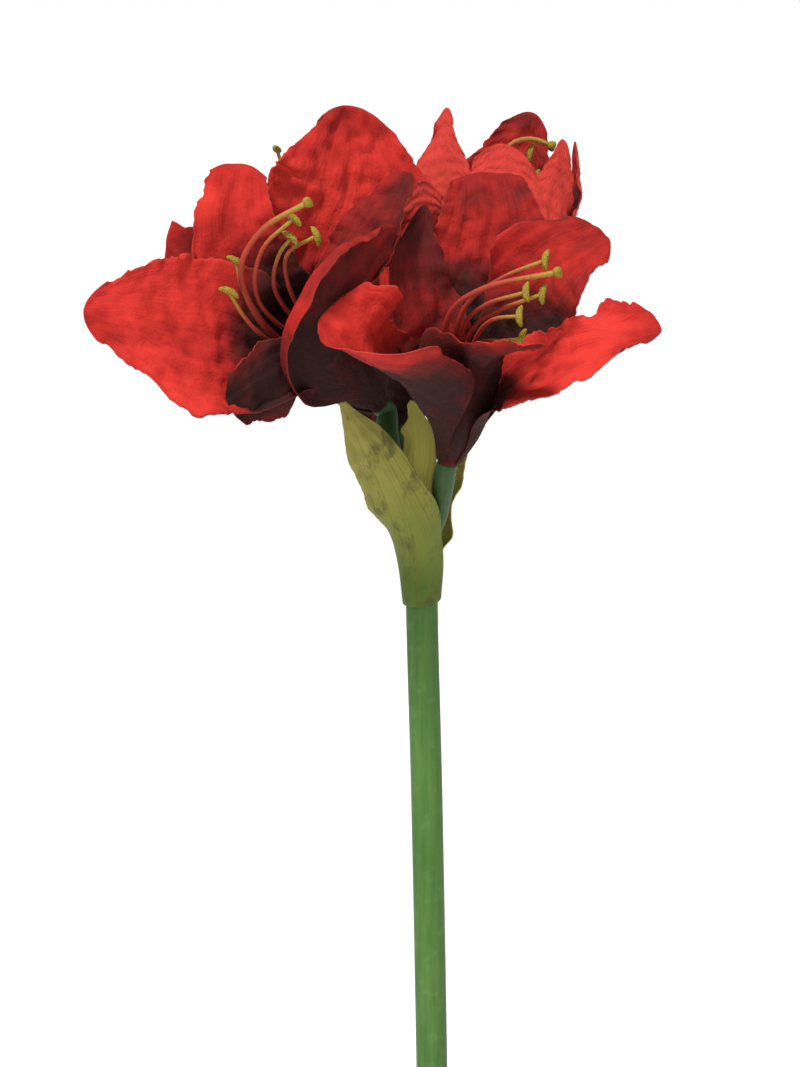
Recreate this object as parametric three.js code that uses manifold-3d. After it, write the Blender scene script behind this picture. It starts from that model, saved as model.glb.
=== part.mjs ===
// A potted amaryllis in flower: a plain clay pot of soil, a bulb standing half out of it, and one
// scape that carries four red blooms above its papery bracts. Millimetres, +Z up, -Y is the front.
// The origin is the centre of the pot's flat underside.
import * as THREE from "three";
import { mergeVertices } from "three/addons/utils/BufferGeometryUtils.js";
import Module from "manifold-3d";

const wasm = await Module();
wasm.setup();

// Driving dimensions
const fit = 0.3; // clearance between pieces that rest on each other
const pot = { height: 120, rim: 26, rimRadius: 70, lipRadius: 67, shoulder: 64.5, foot: 46, edge: 2 };
const cavity = { floor: 6, floorRadius: 42, shoulder: 60.5, brim: 65 };
const soil = { top: 106, grain: 1.6, rings: [61, 54, 47, 41] };
const bulb = { foot: 56, belly: 91, radius: 36.5, shoulder: 122, neck: 146, top: 161, topRadius: 11.5 };
const scape = { radius: 6.9, topRadius: 7.2, socketDepth: 20, tip: 459, lean: -5 };
const scapeTurns = [[0, 181], [0.55, 340], [1, 428]]; // share of the lean, at a height
const pedicel = { radius: 3.7, sunk: 6, spread: 1.6, ovary: 4.6, ovaryLength: 6 };
const tube = { plug: 5.4, plugHeight: 3.5, root: 4.7, neckHeight: 15, neck: 9.5, stagger: 0.7, wrap: 38 };
const thickness = { tepal: 0.9, bract: 1 };
const knob = { radius: 3, crown: 2.4, height: 3 };
const filament = { base: 1.5, tip: 1.1, fromAxis: 1.2, reach: 22, spread: 2.5 };
const anther = { length: 9, radius: 1.7 };
const style = { base: 1.9, tip: 1.3, stigma: 2.7 };

// A place on the blooms is written as the picture shows it: pixels across, pixels down, and then
// millimetres behind the scape's own plane. scale is millimetres a pixel in that plane, distance is how
// far the eye stands in front of it, stemColumn is where the scape stands in the picture, and lowerEdge
// is the height of the picture's lower edge.
const picture = { width: 800, height: 1067, scale: 0.45, distance: 1500, stemColumn: 433, lowerEdge: 220 };
function seen([across, down, behind]) {
  const { width, height, scale, distance, stemColumn, lowerEdge } = picture;
  const scaleThere = (scale * (distance + behind)) / distance;
  const eye = { x: (width / 2 - stemColumn) * scale, z: lowerEdge + (height / 2) * scale };
  const [right, up] = [across - width / 2, height / 2 - down];
  return new THREE.Vector3(eye.x + right * scaleThere, behind, eye.z + up * scaleThere);
}

// Four blooms. Each has its base, the middle of its mouth, a place that its pedicel passes, and six
// tepals in order around its axis.
// A tepal runs over shoulder and middle to its tip, and face is the way its inner side looks. left and
// right are its half widths in millimetres at each quarter of its length, as seen with its inner side
// in front and its tip up. cup is how far it bends across in degrees, and lip rolls its two edges. A lobe
// is a rounded bulge or notch of one edge: where along it, which edge (1 left), how far out, how long.
// An anther line is the way an anther points across its filament.
const blooms = {
  left: {
    base: [378, 404, -12],
    mouth: [285, 332, -52],
    ring: -12,
    stalk: [388, 436, -11],
    antherLines: [[0.8, 0, -0.6], [0.8, 0, -0.6], [0.25, 0, -1], [0.8, 0, -0.6], [0.9, 0, -0.4]],
    detail: { along: 10, across: 6, steps: 6 },
    tepals: {
      side: {
        shoulder: [255, 352, -58], middle: [166, 328, -82], tip: [83, 312, -88],
        face: [-0.2, -0.9, 0.35], left: [12, 33, 35, 11], right: [12, 34, 33, 15], cup: [20, 6],
        lobes: [[0.7, 1, 6, 0.06], [0.84, 1, -3, 0.05], [0.88, -1, 2.5, 0.06]],
      },
      low: {
        shoulder: [315, 372, -54], middle: [264, 385, -74], tip: [228, 402, -84],
        face: [0, 0.95, 0.3], left: [12, 18, 17, 12], right: [12, 18, 13, 9], cup: [26, 10], round: 6,
      },
      right: {
        shoulder: [330, 358, -58], middle: [342, 300, -72], tip: [396, 227, -64],
        face: [-0.6, 0.7, 0.4], left: [12, 22, 20, 8], right: [13, 35, 29, 8], cup: [30, 14], lip: [-60, 0],
      },
      inner: {
        shoulder: [330, 305, -46], middle: [365, 248, -50], tip: [410, 173, -46],
        face: [-0.6, -0.75, 0.1], left: [10, 15, 17, 12], right: [10, 15, 17, 8], cup: [20, 10],
      },
      top: {
        shoulder: [310, 285, -36], middle: [345, 190, -30], tip: [351, 107, -22],
        face: [0.5, -0.85, 0.2], left: [12, 30, 38, 16], right: [12, 20, 43, 22], cup: [16, 6], round: 8,
      },
      rear: {
        shoulder: [258, 300, -48], middle: [233, 225, -58], tip: [238, 164, -50],
        face: [-0.1, -0.95, 0.2], left: [12, 22, 20, 11], right: [12, 24, 22, 13], cup: [20, 8], round: 5,
      },
    },
    stamens: [
      [[258, 300, -66], [262, 250, -76], [293, 219, -80]],
      [[275, 290, -64], [279, 255, -72], [291, 238, -76]],
      [[290, 290, -64], [287, 255, -70], [316, 236, -74]],
      [[262, 325, -62], [243, 290, -74], [236, 262, -78]],
      [[268, 340, -62], [245, 318, -76], [229, 292, -84]],
    ],
    style: [[262, 322, -62], [241, 268, -80], [262, 230, -86], [308, 202, -88]],
  },
  front: {
    base: [448, 461, -25],
    mouth: [480, 335, -60],
    ring: 0,
    stalk: [438, 516, -6],
    antherLine: [0.1, 0.2, 1],
    detail: { along: 10, across: 6, steps: 6 },
    tepals: {
      left: {
        shoulder: [415, 395, -65], middle: [368, 359, -83], tip: [321, 316, -86],
        face: [0, -0.35, 0.93], tipFace: [0.1, -0.65, 0.65],
        left: [12, 31, 28, 10], right: [12, 26, 34, 25], cup: [92, 50], round: 4, ruffle: 5,
        lobes: [[0.69, 1, 6.5, 0.09]],
      },
      low: {
        shoulder: [474, 376, -63], middle: [492, 358, -86], tip: [545, 348, -100],
        face: [0, 0.45, 0.9], tipFace: [0.1, -0.2, 0.95],
        left: [12, 20, 13, 7], right: [12, 30, 10, 6], cup: [88, 20],
      },
      right: {
        shoulder: [505, 390, -52], middle: [580, 352, -76], tip: [662, 331, -80],
        face: [-0.15, -0.8, 0.6], left: [12, 18, 17, 19], right: [12, 25, 18, 7], cup: [24, 10], ruffle: 3,
        lobes: [[0.8, 1, -3, 0.05], [0.92, 1, 3.5, 0.06]],
      },
      side: {
        shoulder: [515, 335, -44], middle: [553, 272, -52], tip: [607, 237, -46],
        face: [-0.3, -0.9, 0.3], left: [12, 18, 26, 19], right: [12, 22, 21, 11], cup: [22, 8],
      },
      top: {
        shoulder: [475, 300, -36], middle: [488, 225, -32], tip: [485, 173, -22],
        face: [0, -1, 0.1], left: [12, 22, 24, 16], right: [12, 22, 28, 17], cup: [20, 8], round: 5,
      },
      rear: {
        shoulder: [430, 335, -46], middle: [418, 270, -48], tip: [424, 206, -40],
        face: [0.35, -0.9, 0.2], left: [12, 18, 15, 5], right: [12, 18, 15, 5], cup: [20, 10],
      },
    },
    stamens: [
      [[462, 312, -62], [500, 279, -74], [546, 260, -78]],
      [[465, 325, -62], [485, 305, -74], [527, 292, -84]],
      [[472, 330, -62], [500, 310, -74], [543, 294, -80]],
      [[475, 340, -64], [492, 320, -78], [520, 316, -88]],
      [[478, 345, -62], [500, 341, -73], [522, 339, -80]],
    ],
    style: [[448, 318, -62], [480, 290, -76], [558, 272, -84]],
  },
  back: {
    base: [399, 427, 6],
    mouth: [508, 165, 60],
    ring: -5,
    stalk: [409, 475, 2],
    antherLine: [0.1, 0.2, 1],
    detail: { along: 8, across: 5, steps: 5 },
    tepals: {
      right: {
        shoulder: [505, 295, 42], middle: [545, 205, 48], tip: [563, 139, 56],
        face: [-0.3, 0.9, 0.2], left: [10, 17, 22, 7], right: [10, 15, 14, 3], cup: [26, 20], ruffle: 0.8,
      },
      far: {
        shoulder: [525, 300, 62], middle: [577, 205, 72], tip: [577, 142, 78],
        face: [-0.9, -0.3, 0.2], left: [10, 18, 16, 4], right: [10, 18, 17, 5], cup: [24, 16], ruffle: 0.8,
      },
      rear: {
        shoulder: [480, 290, 58], middle: [508, 195, 76], tip: [532, 114, 84],
        face: [-0.1, -1, 0.1], left: [12, 24, 31, 12], right: [12, 24, 25, 10], cup: [20, 10], ruffle: 1,
      },
      left: {
        shoulder: [452, 275, 36], middle: [441, 185, 38], tip: [446, 107, 50],
        face: [0.4, 0.9, 0.1], left: [10, 18, 17, 4], right: [15, 22, 24, 5], cup: [24, 20], ruffle: 0.8,
      },
      fold: {
        shoulder: [450, 290, -8], middle: [428, 228, -27], tip: [423, 180, -32],
        face: [-0.3, 0.9, 0.3], left: [10, 13, 12, 8], right: [9, 7, 14, 9], cup: [24, 10], ruffle: 0.8,
      },
      front: {
        shoulder: [475, 295, 24], middle: [500, 205, 26], tip: [506, 144, 38],
        face: [0, 1, 0.15], left: [12, 23, 26, 13], right: [12, 23, 26, 13], cup: [26, 16], ruffle: 0.8,
      },
    },
    stamens: [
      [[488, 262, 52], [512, 195, 64], [531, 152, 66]],
      [[483, 262, 56], [500, 200, 68], [505, 170, 70]],
      [[490, 262, 55], [520, 205, 67], [536, 178, 68]],
      [[486, 262, 58], [508, 210, 69], [515, 182, 71]],
      [[487, 262, 54], [514, 215, 63], [524, 190, 64]],
    ],
    style: [[484, 262, 51], [494, 190, 60], [510, 145, 62], [532, 139, 64], [552, 146, 66]],
  },
  rear: {
    base: [384, 420, 24],
    mouth: [290, 290, 90],
    ring: 0,
    stalk: [398, 470, 14],
    antherLine: [0.2, 1, 0.1],
    detail: { along: 8, across: 5, steps: 4 },
    tepals: {
      back: {
        shoulder: [370, 360, 76], middle: [350, 345, 118], tip: [335, 355, 148],
        face: [-0.3, 0.4, 0.9], left: [12, 24, 24, 8], right: [12, 24, 24, 8],
      },
      low: {
        shoulder: [340, 360, 62], middle: [285, 345, 92], tip: [240, 345, 112],
        face: [-0.2, 0.5, 0.85], left: [11, 20, 20, 6], right: [11, 20, 20, 6],
      },
      left: {
        shoulder: [315, 325, 52], middle: [235, 268, 68], tip: [165, 247, 74],
        face: [-0.1, 0.75, 0.6], left: [12, 24, 20, 12], right: [12, 24, 20, 13], round: 1,
      },
      high: {
        shoulder: [340, 300, 60], middle: [285, 235, 84], tip: [255, 205, 92],
        face: [-0.3, 0.8, 0.3], left: [11, 20, 20, 6], right: [11, 20, 20, 6],
      },
      top: {
        shoulder: [365, 300, 58], middle: [345, 215, 84], tip: [338, 160, 92],
        face: [-0.2, 0.9, 0.3], left: [12, 24, 24, 8], right: [12, 24, 24, 8],
      },
      right: {
        shoulder: [380, 320, 70], middle: [375, 250, 112], tip: [388, 205, 140],
        face: [-0.5, 0.5, 0.6], left: [11, 20, 20, 6], right: [11, 20, 20, 6],
      },
    },
    stamens: [
      [[340, 330, 60], [300, 230, 95], [277, 149, 100]],
      [[330, 320, 70], [305, 260, 105], [290, 225, 120]],
      [[335, 325, 75], [310, 275, 110], [300, 245, 122]],
      [[325, 320, 70], [290, 265, 100], [272, 235, 112]],
      [[330, 325, 75], [300, 290, 108], [285, 268, 120]],
    ],
    style: [[325, 320, 75], [290, 260, 108], [265, 220, 124]],
  },
};

// Three bracts at the top of the scape: height is where a bract leaves it, out the way it stands off,
// and hem how far the middle of its lower edge hangs down.
const bracts = {
  front: {
    height: 431, out: [-0.35, -1, 0], radius: 8.5, wrap: 112, rise: 15, flare: 1.6, unfurl: 0.5, hem: 4,
    shoulder: [406, 527, -20], middle: [378, 462, -33], tip: [338, 396, -36],
    face: [0.3, 1, -0.1], left: [20, 14.5, 10, 1.2], right: [24, 16, 12.5, 1.2], cup: [42, 24],
    ruffle: 0.6, round: 2, detail: { along: 11, across: 8 },
  },
  back: {
    height: 431, out: [0.35, 1, 0], radius: 8.1, wrap: 58, rise: 22, flare: 2.5, unfurl: 0.45,
    shoulder: [438, 525, 13], middle: [443, 488, 18], tip: [466, 440, 22],
    face: [-0.5, -1, 0], left: [9, 6, 6, 2], right: [9, 8, 9.5, 3], cup: [36, 20],
    lobes: [[0.38, -1, 3, 0.06]],
    ruffle: 0.6, round: 2, detail: { along: 9, across: 6 },
  },
  inner: {
    height: 450, out: [0, -1, 0], radius: 8.05, wrap: 32, rise: 8, flare: 3, unfurl: 0.4,
    shoulder: [416, 485, -16], middle: [419, 440, -17], tip: [411, 400, -16],
    face: [0.1, 1, 0], left: [4, 6.5, 6, 2], right: [4.5, 6, 5, 2], cup: [20, 10],
    lobes: [[0.84, -1, 3, 0.04]],
    ruffle: 0.4, round: 2, detail: { along: 8, across: 4 },
  },
};

const materials = {
  clay: new THREE.MeshStandardMaterial({ color: 0xb4694a, roughness: 0.9, metalness: 0 }),
  soil: new THREE.MeshStandardMaterial({ color: 0x33261d, roughness: 1, metalness: 0 }),
  tunic: new THREE.MeshStandardMaterial({ color: 0x8a5a34, roughness: 0.7, metalness: 0 }),
  stem: new THREE.MeshStandardMaterial({ color: 0x4f7f35, roughness: 0.5, metalness: 0 }),
  bract: new THREE.MeshStandardMaterial({ color: 0x9a9440, roughness: 0.75, metalness: 0 }),
  petal: new THREE.MeshStandardMaterial({ color: 0xb3201f, roughness: 0.62, metalness: 0 }),
  stamen: new THREE.MeshStandardMaterial({ color: 0xb0562c, roughness: 0.6, metalness: 0 }),
};

const { degToRad, lerp, smoothstep, mapLinear } = THREE.MathUtils;
const upright = new THREE.Vector3(0, 0, 1);
const direction = (numbers) => new THREE.Vector3(...numbers).normalize();

// A closed mesh as a solid that can be joined
function solidOf(geometry) {
  const bare = new THREE.BufferGeometry().setAttribute("position", geometry.getAttribute("position"));
  if (geometry.index) bare.setIndex(geometry.index);
  const merged = mergeVertices(bare, 1e-4);
  const vertProperties = merged.getAttribute("position").array;
  const triVerts = new Uint32Array(merged.index.array);
  return new wasm.Manifold(new wasm.Mesh({ numProp: 3, vertProperties, triVerts }));
}

// Closed meshes joined into one; a crumb that the joining cuts loose, or seals in, is dropped
function fuse(geometries) {
  const bodies = wasm.Manifold.union(geometries.map(solidOf)).decompose();
  const largest = bodies.reduce((a, b) => (a.volume() > b.volume() ? a : b));
  const { vertProperties, triVerts } = largest.getMesh();
  return new THREE.BufferGeometry()
    .setAttribute("position", new THREE.BufferAttribute(vertProperties, 3))
    .setIndex(new THREE.BufferAttribute(triVerts, 1));
}

// A turned shape about +Z from [radius, height] pairs that start and end on the axis
function turned(profile, sides) {
  const points = profile.map(([radius, height]) => new THREE.Vector2(radius, height));
  return new THREE.LatheGeometry(points, sides).rotateX(Math.PI / 2);
}

// A closed round tube through points, whose radius runs evenly through the radii
function taperedTube(points, radii, sides, steps) {
  const curve = new THREE.CatmullRomCurve3(points);
  const { normals, binormals } = curve.computeFrenetFrames(steps);
  const corners = [];
  const faces = [];
  for (let i = 0; i <= steps; i++) {
    const place = (i / steps) * (radii.length - 1);
    const from = Math.min(Math.floor(place), radii.length - 2);
    const radius = lerp(radii[from], radii[from + 1], place - from);
    for (let k = 0; k < sides; k++) {
      const turn = (k / sides) * 2 * Math.PI;
      const corner = curve.getPointAt(i / steps);
      corner.addScaledVector(normals[i], radius * Math.cos(turn));
      corner.addScaledVector(binormals[i], radius * Math.sin(turn));
      corners.push(corner);
    }
  }
  for (let i = 0; i < steps; i++)
    for (let k = 0; k < sides; k++) {
      const near = i * sides + k;
      const next = i * sides + ((k + 1) % sides);
      faces.push(near, next, next + sides, near, next + sides, near + sides);
    }
  const last = steps * sides;
  for (let k = 1; k < sides - 1; k++) faces.push(0, k + 1, k, last, last + k, last + k + 1);
  return new THREE.BufferGeometry().setFromPoints(corners).setIndex(faces);
}

// A thin blade over a surface (t from root to tip, s from edge to edge), split alike on both faces
function bladeOver(surface, along, across, thick) {
  const columns = across + 1;
  const middle = [];
  for (let i = 0; i <= along; i++)
    for (let j = 0; j <= across; j++) middle.push(surface(i / along, (2 * j) / across - 1));
  const at = (i, j) => middle[i * columns + j];
  const sheet = (offset) =>
    middle.map((point, index) => {
      const i = Math.floor(index / columns);
      const j = index % columns;
      const alongEdge = at(Math.min(i + 1, along), j).clone().sub(at(Math.max(i - 1, 0), j));
      const acrossEdge = at(i, Math.min(j + 1, across)).clone().sub(at(i, Math.max(j - 1, 0)));
      return point.clone().addScaledVector(alongEdge.cross(acrossEdge).normalize(), offset);
    });
  const up = (i, j) => i * columns + j;
  const down = (i, j) => middle.length + up(i, j);
  const faces = [];
  const rim = (i0, j0, i1, j1) => {
    faces.push(up(i0, j0), up(i1, j1), down(i1, j1));
    faces.push(up(i0, j0), down(i1, j1), down(i0, j0));
  };
  for (let i = 0; i < along; i++)
    for (let j = 0; j < across; j++) {
      faces.push(up(i, j), up(i + 1, j), up(i + 1, j + 1));
      faces.push(up(i, j), up(i + 1, j + 1), up(i, j + 1));
      faces.push(down(i, j), down(i + 1, j + 1), down(i + 1, j));
      faces.push(down(i, j), down(i, j + 1), down(i + 1, j + 1));
    }
  for (let i = 0; i < along; i++) {
    rim(i + 1, 0, i, 0);
    rim(i, across, i + 1, across);
  }
  for (let j = 0; j < across; j++) {
    rim(0, j, 0, j + 1);
    rim(along, j + 1, along, j);
  }
  const corners = [...sheet(thick / 2), ...sheet(-thick / 2)];
  return new THREE.BufferGeometry().setFromPoints(corners).setIndex(faces);
}

// Half the width of a leaf on one side, from its stalk through the widths at each quarter
function marginOf(rootHalf, widths) {
  const places = [rootHalf, ...widths].map((width, index) => new THREE.Vector2(index, width));
  const curve = new THREE.SplineCurve(places);
  return (t) => curve.getPoint(t).y;
}

// The surface of one leaf along its spine. It starts cupped around its stalk and turns to its face.
function leafSurface(spine, side, rootHalf, leaf) {
  const { face, tipFace = face, wrap, unfurl = 0.6, cup = [24, 12], lip = [0, 0] } = leaf;
  const { ruffle = 2, round = 8, lobes = [], hem = 0 } = leaf;
  const curve = new THREE.CatmullRomCurve3(spine, false, "centripetal");
  const tipDrop = round / curve.getLength();
  const leftMargin = marginOf(rootHalf, leaf.left);
  const rightMargin = marginOf(rootHalf, leaf.right);
  const cupAt = (t) => {
    if (t < 0.2) return wrap;
    if (t < unfurl) return lerp(wrap, cup[0], smoothstep(t, 0.2, unfurl));
    return lerp(cup[0], cup[1], smoothstep(t, unfurl, 1));
  };
  const lobeAt = (t, s) =>
    lobes.reduce((sum, [at, edge, out, spread]) => {
      const near = Math.exp(-(((t - at) / spread) ** 2));
      return edge * s > 0 ? sum + out * near : sum;
    }, 0);
  return (t, s) => {
    const reach = t - tipDrop * s * s * t ** 4;
    const tangent = curve.getTangentAt(reach);
    const drop = hem * (1 - s * s) * (1 - smoothstep(t, 0, 0.3));
    const point = curve.getPointAt(reach).addScaledVector(tangent, -drop);
    const stalkward = tangent.clone().cross(side.clone().projectOnPlane(tangent).normalize());
    const outward = direction(face).lerp(direction(tipFace), smoothstep(t, 0.5, 1));
    const normal = stalkward.lerp(outward, smoothstep(t, 0.15, 0.5)).projectOnPlane(tangent).normalize();
    const across = normal.clone().cross(tangent);
    const half = (s > 0 ? leftMargin(t) : rightMargin(t)) + lobeAt(t, s);
    const bend = degToRad(cupAt(t));
    const roll = degToRad(s > 0 ? lip[1] : lip[0]) * smoothstep(t, 0.2, 0.5);
    const edge = half * Math.max(0, Math.abs(s) - 0.5) ** 2 * 2;
    const wave = Math.sin(16 * t + (s > 0 ? 1.9 : 0)) * ruffle * s * s * smoothstep(t, 0.15, 0.6);
    const sideways = (half * Math.sin(s * bend)) / bend - Math.sign(s) * edge * (1 - Math.cos(roll));
    const rise = (half * (1 - Math.cos(s * bend))) / bend + edge * Math.sin(roll) + wave;
    return point.addScaledVector(across, sideways).addScaledVector(normal, rise);
  };
}

function axisOf(bloom) {
  return seen(bloom.mouth).sub(seen(bloom.base)).normalize();
}

// The tepals stand at even turns around the tube, every second one on a slightly wider ring
function tepalGeometry(bloom, tepal, index) {
  const base = seen(bloom.base);
  const axis = axisOf(bloom);
  const first = Object.values(bloom.tepals)[0];
  const out = seen(first.shoulder).sub(base).projectOnPlane(axis).normalize();
  out.applyAxisAngle(axis, degToRad(bloom.ring + 60 * index));
  const shift = index % 2 ? -tube.stagger : tube.stagger;
  const root = base.clone().addScaledVector(axis, 1).addScaledVector(out, tube.root + shift);
  const neck = base.clone().addScaledVector(axis, tube.neckHeight).addScaledVector(out, tube.neck + shift);
  const spine = [root, neck, seen(tepal.shoulder), seen(tepal.middle), seen(tepal.tip)];
  const rootHalf = tube.root * degToRad(tube.wrap);
  const surface = leafSurface(spine, axis.clone().cross(out), rootHalf, { wrap: tube.wrap, ...tepal });
  return bladeOver(surface, bloom.detail.along, bloom.detail.across, thickness.tepal);
}

// The solid foot of a bloom, in which its six tepals are rooted
function plugGeometry(bloom) {
  const turn = new THREE.Quaternion().setFromUnitVectors(upright, axisOf(bloom));
  const profile = [[0, 0], [tube.plug, 0], [tube.plug, tube.plugHeight], [0, tube.plugHeight]];
  return turned(profile, 12).applyQuaternion(turn).translate(...seen(bloom.base));
}

function bloomGeometry(bloom) {
  const tepals = Object.values(bloom.tepals).map((tepal, index) => tepalGeometry(bloom, tepal, index));
  return fuse([plugGeometry(bloom), ...tepals]);
}

// A filament leaves the knob in the throat along the bloom's axis, and then follows its places
function filamentPath(bloom, places) {
  const base = seen(bloom.base);
  const axis = axisOf(bloom);
  const aside = seen(places[0]).sub(base).projectOnPlane(axis).normalize();
  const inKnob = tube.plugHeight + fit + knob.height / 3;
  const start = base.clone().addScaledVector(axis, inKnob).addScaledVector(aside, filament.fromAxis);
  const inside = base.clone().addScaledVector(axis, filament.reach).addScaledVector(aside, filament.spread);
  return [start, inside, ...places.map(seen)];
}

// Five stamens and the style of a bloom, joined at a small knob in its throat
function stamensGeometry(bloom) {
  const { steps } = bloom.detail;
  const foot = seen(bloom.base).addScaledVector(axisOf(bloom), tube.plugHeight + fit);
  const crown = foot.clone().addScaledVector(axisOf(bloom), knob.height);
  const pieces = [taperedTube([foot, crown], [knob.radius, knob.crown], 8, 1)];
  for (const [index, places] of bloom.stamens.entries()) {
    const line = direction(bloom.antherLines?.[index] ?? bloom.antherLine);
    const swing = new THREE.Quaternion().setFromUnitVectors(upright, line);
    const pod = new THREE.SphereGeometry(anther.radius, 5, 4).rotateX(Math.PI / 2);
    pod.scale(1, 1, anther.length / 2 / anther.radius).applyQuaternion(swing);
    pieces.push(taperedTube(filamentPath(bloom, places), [filament.base, filament.tip], 4, steps));
    pieces.push(pod.translate(...seen(places.at(-1))));
  }
  pieces.push(taperedTube(filamentPath(bloom, bloom.style), [style.base, style.tip], 5, steps));
  pieces.push(new THREE.SphereGeometry(style.stigma, 6, 4).translate(...seen(bloom.style.at(-1))));
  return fuse(pieces);
}

// The scape stands in the bulb's neck and carries four pedicels, each swelling to an ovary
function scapeGeometry() {
  const { lean } = scape;
  const top = new THREE.Vector3(lean, 0, scape.tip);
  const foot = new THREE.Vector3(0, 0, bulb.top - scape.socketDepth + fit);
  const turns = scapeTurns.map(([share, height]) => new THREE.Vector3(lean * share, 0, height));
  const pieces = [taperedTube([foot, ...turns, top], [scape.radius, scape.topRadius], 12, 8)];
  const { radius, ovary } = pedicel;
  for (const bloom of Object.values(blooms)) {
    const end = seen(bloom.base).addScaledVector(axisOf(bloom), -fit);
    const swelling = seen(bloom.base).addScaledVector(axisOf(bloom), -pedicel.ovaryLength);
    const aside = end.clone().sub(top).setZ(0).normalize();
    const start = top.clone().addScaledVector(aside, pedicel.spread).setZ(scape.tip - pedicel.sunk);
    const route = [start, seen(bloom.stalk), swelling, end];
    pieces.push(taperedTube(route, [radius, radius, radius, ovary, ovary], 8, 6));
  }
  return fuse(pieces);
}

// A papery bract that wraps the scape at its root
function bractGeometry(bract) {
  const out = direction(bract.out);
  const start = new THREE.Vector3(scape.lean, 0, bract.height).addScaledVector(out, bract.radius);
  const second = start.clone().addScaledVector(upright, bract.rise).addScaledVector(out, bract.flare);
  const spine = [start, second, seen(bract.shoulder), seen(bract.middle), seen(bract.tip)];
  const surface = leafSurface(spine, upright.clone().cross(out), bract.radius * degToRad(bract.wrap), bract);
  return bladeOver(surface, bract.detail.along, bract.detail.across, thickness.bract);
}

function potGeometry() {
  const { height, rim, rimRadius, lipRadius, shoulder, foot, edge } = pot;
  const outside = [[0, 0], [foot - edge, 0], [foot, edge], [shoulder, height - rim]];
  const band = [[lipRadius, height - rim], [rimRadius, height - edge], [rimRadius - edge, height]];
  const wall = [[cavity.brim, height], [cavity.shoulder, height - rim], [cavity.floorRadius, cavity.floor]];
  return turned([...outside, ...band, ...wall, [0, cavity.floor]], 30);
}

// The bulb's outline from its underside up to its neck
const bulbOutline = [
  [0, bulb.foot], [13, bulb.foot], [25, bulb.foot + 7], [33, bulb.foot + 18], [bulb.radius, bulb.belly],
  [35, soil.top], [28.5, bulb.shoulder], [20, bulb.shoulder + 12], [14.5, bulb.neck],
  [12.3, bulb.top - 6], [bulb.topRadius, bulb.top],
];

function bulbGeometry() {
  const hole = scape.radius + fit;
  const floor = bulb.top - scape.socketDepth;
  return turned([...bulbOutline, [hole, bulb.top], [hole, floor], [0, floor]], 20);
}

// The soil fills the pot to below its brim, and leaves a plain hollow for the bulb
function soilGeometry() {
  const { floor, floorRadius, shoulder } = cavity;
  const ledge = pot.height - pot.rim;
  const wallAt = (z) => mapLinear(z, floor, ledge, floorRadius, shoulder) - 2 * fit;
  const buried = bulbOutline.filter(([, z]) => z <= soil.top);
  const hollow = buried.map(([r, z]) => [r ? r + 2 * fit : 0, z - fit]);
  hollow[hollow.length - 1][1] = soil.top;
  const surface = soil.rings.map((r) => [r, soil.top]);
  const body = [[0, floor + fit], [wallAt(floor), floor + fit], [wallAt(ledge), ledge]];
  const geometry = turned([...body, ...surface, ...hollow.reverse()], 26);
  const spots = geometry.getAttribute("position");
  for (let i = 0; i < spots.count; i++) {
    const [x, y, z] = [spots.getX(i), spots.getY(i), spots.getZ(i)];
    const lump = Math.sin(0.31 * x + 1) * Math.cos(0.27 * y) + 0.6 * Math.sin(0.55 * y + 0.4 * x);
    if (z > soil.top - 0.01) spots.setZ(i, z + soil.grain * lump);
  }
  return geometry;
}

const plant = new THREE.Group();
function place(name, geometry, material) {
  const mesh = new THREE.Mesh(geometry, material);
  mesh.name = name;
  plant.add(mesh);
}

place("pot", potGeometry(), materials.clay);
place("soil", soilGeometry(), materials.soil);
place("bulb", bulbGeometry(), materials.tunic);
place("scape", scapeGeometry(), materials.stem);
for (const [name, bract] of Object.entries(bracts)) {
  place("bract_" + name, bractGeometry(bract), materials.bract);
}
for (const [name, bloom] of Object.entries(blooms)) {
  place("bloom_" + name, bloomGeometry(bloom), materials.petal);
  place("stamens_" + name, stamensGeometry(bloom), materials.stamen);
}

export default plant;
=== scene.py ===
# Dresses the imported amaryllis: petals, stamens, bracts, stem, bulb, soil and pot.
# Sizes are worked out in millimetres and set down in metres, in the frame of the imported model.
import bisect
import math
import random

import bpy
from mathutils import Matrix, Quaternion, Vector, noise


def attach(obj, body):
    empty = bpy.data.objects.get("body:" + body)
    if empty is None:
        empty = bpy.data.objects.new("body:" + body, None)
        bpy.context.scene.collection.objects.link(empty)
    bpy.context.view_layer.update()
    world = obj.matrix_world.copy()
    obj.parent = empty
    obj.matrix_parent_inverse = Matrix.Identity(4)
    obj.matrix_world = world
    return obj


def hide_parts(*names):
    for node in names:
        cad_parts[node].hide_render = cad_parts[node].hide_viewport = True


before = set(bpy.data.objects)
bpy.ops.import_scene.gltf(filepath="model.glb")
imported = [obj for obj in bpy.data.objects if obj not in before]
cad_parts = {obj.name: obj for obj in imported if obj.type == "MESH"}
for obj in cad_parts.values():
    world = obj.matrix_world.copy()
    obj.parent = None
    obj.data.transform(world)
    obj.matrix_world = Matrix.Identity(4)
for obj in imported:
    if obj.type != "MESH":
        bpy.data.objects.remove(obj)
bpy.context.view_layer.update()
bpy.ops.object.select_all(action="DESELECT")
print("frame loaded:", len(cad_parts), "nodes")

metre = 0.001
upright = Vector((0, 0, 1))

# The picture's own frame: scale is millimetres a pixel at the stem, distance how far the eye stands
# off, stemColumn the pixel where the stem stands, lowerEdge the height of the picture's lower edge
picture = {
    "width": 800, "height": 1067, "scale": 0.45, "distance": 1500, "stemColumn": 433,
    "lowerEdge": 220,
}


def eyePlace():
    x = (picture["width"] / 2 - picture["stemColumn"]) * picture["scale"]
    z = picture["lowerEdge"] + picture["height"] / 2 * picture["scale"]
    return Vector((x, -picture["distance"], z))


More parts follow.
